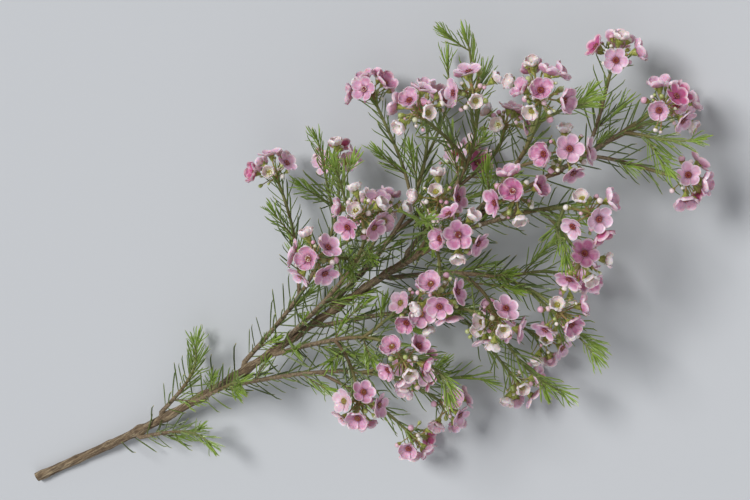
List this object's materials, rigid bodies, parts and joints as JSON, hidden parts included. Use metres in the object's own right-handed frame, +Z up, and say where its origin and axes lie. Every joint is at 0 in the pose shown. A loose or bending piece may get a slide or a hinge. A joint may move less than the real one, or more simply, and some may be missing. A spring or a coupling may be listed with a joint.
{
  "type": "waxflower stem",
  "caption": "Cut flowering branch lying down: a slender woody stem with forked, needle-leaved sprays that end in heads of small five-petalled pink blooms, round buds and leafy shoots.",
  "frame": {"origin": "on the surface that the stem lies on, under the middle of the whole stem's box", "axes": "+Y along the stem from its cut foot to the flowering tip, +Z up off the surface, +X to the right"},
  "size_m": [0.2303, 0.5637, 0.134],
  "materials": {
    "bark": "matte",
    "foliage": "satin",
    "petals": "satin"
  },
  "bodies": {
    "root": {"main_stem": "bark", "bloom_head_01": "petals", "bloom_head_02": "petals", "bloom_head_03": "petals", "bloom_head_04": "petals", "bloom_head_05": "petals", "bloom_head_06": "petals", "bloom_head_07": "petals", "bloom_head_08": "petals", "bloom_head_09": "petals", "bloom_head_10": "petals", "bloom_head_11": "petals", "bloom_head_12": "petals", "bloom_head_13": "petals", "bloom_head_14": "petals", "bloom_head_15": "petals", "bloom_head_16": "petals", "bloom_head_17": "petals", "bloom_head_18": "petals", "bloom_head_19": "petals", "bloom_head_20": "petals", "bloom_head_21": "petals", "bloom_head_22": "petals", "bloom_head_23": "petals", "bloom_head_24": "petals", "bloom_head_25": "petals", "bloom_head_26": "petals", "bloom_head_27": "petals", "bloom_head_28": "petals", "bloom_head_29": "petals", "bloom_head_30": "petals", "bloom_head_31": "petals", "bloom_head_32": "petals", "bloom_head_33": "petals", "bloom_head_34": "petals", "bloom_head_35": "petals", "bloom_head_36": "petals", "bloom_head_37": "petals", "leafy_spray_01": "foliage", "leafy_spray_02": "foliage", "leafy_spray_03": "foliage", "leafy_spray_04": "foliage", "leafy_spray_05": "foliage", "leafy_spray_06": "foliage", "leafy_spray_07": "foliage", "leafy_spray_08": "foliage", "leafy_spray_09": "foliage", "leafy_spray_10": "foliage", "leafy_spray_11": "foliage", "leafy_spray_12": "foliage", "leafy_spray_13": "foliage", "leafy_spray_14": "foliage", "leafy_spray_15": "foliage"}
  },
  "joints": []
}
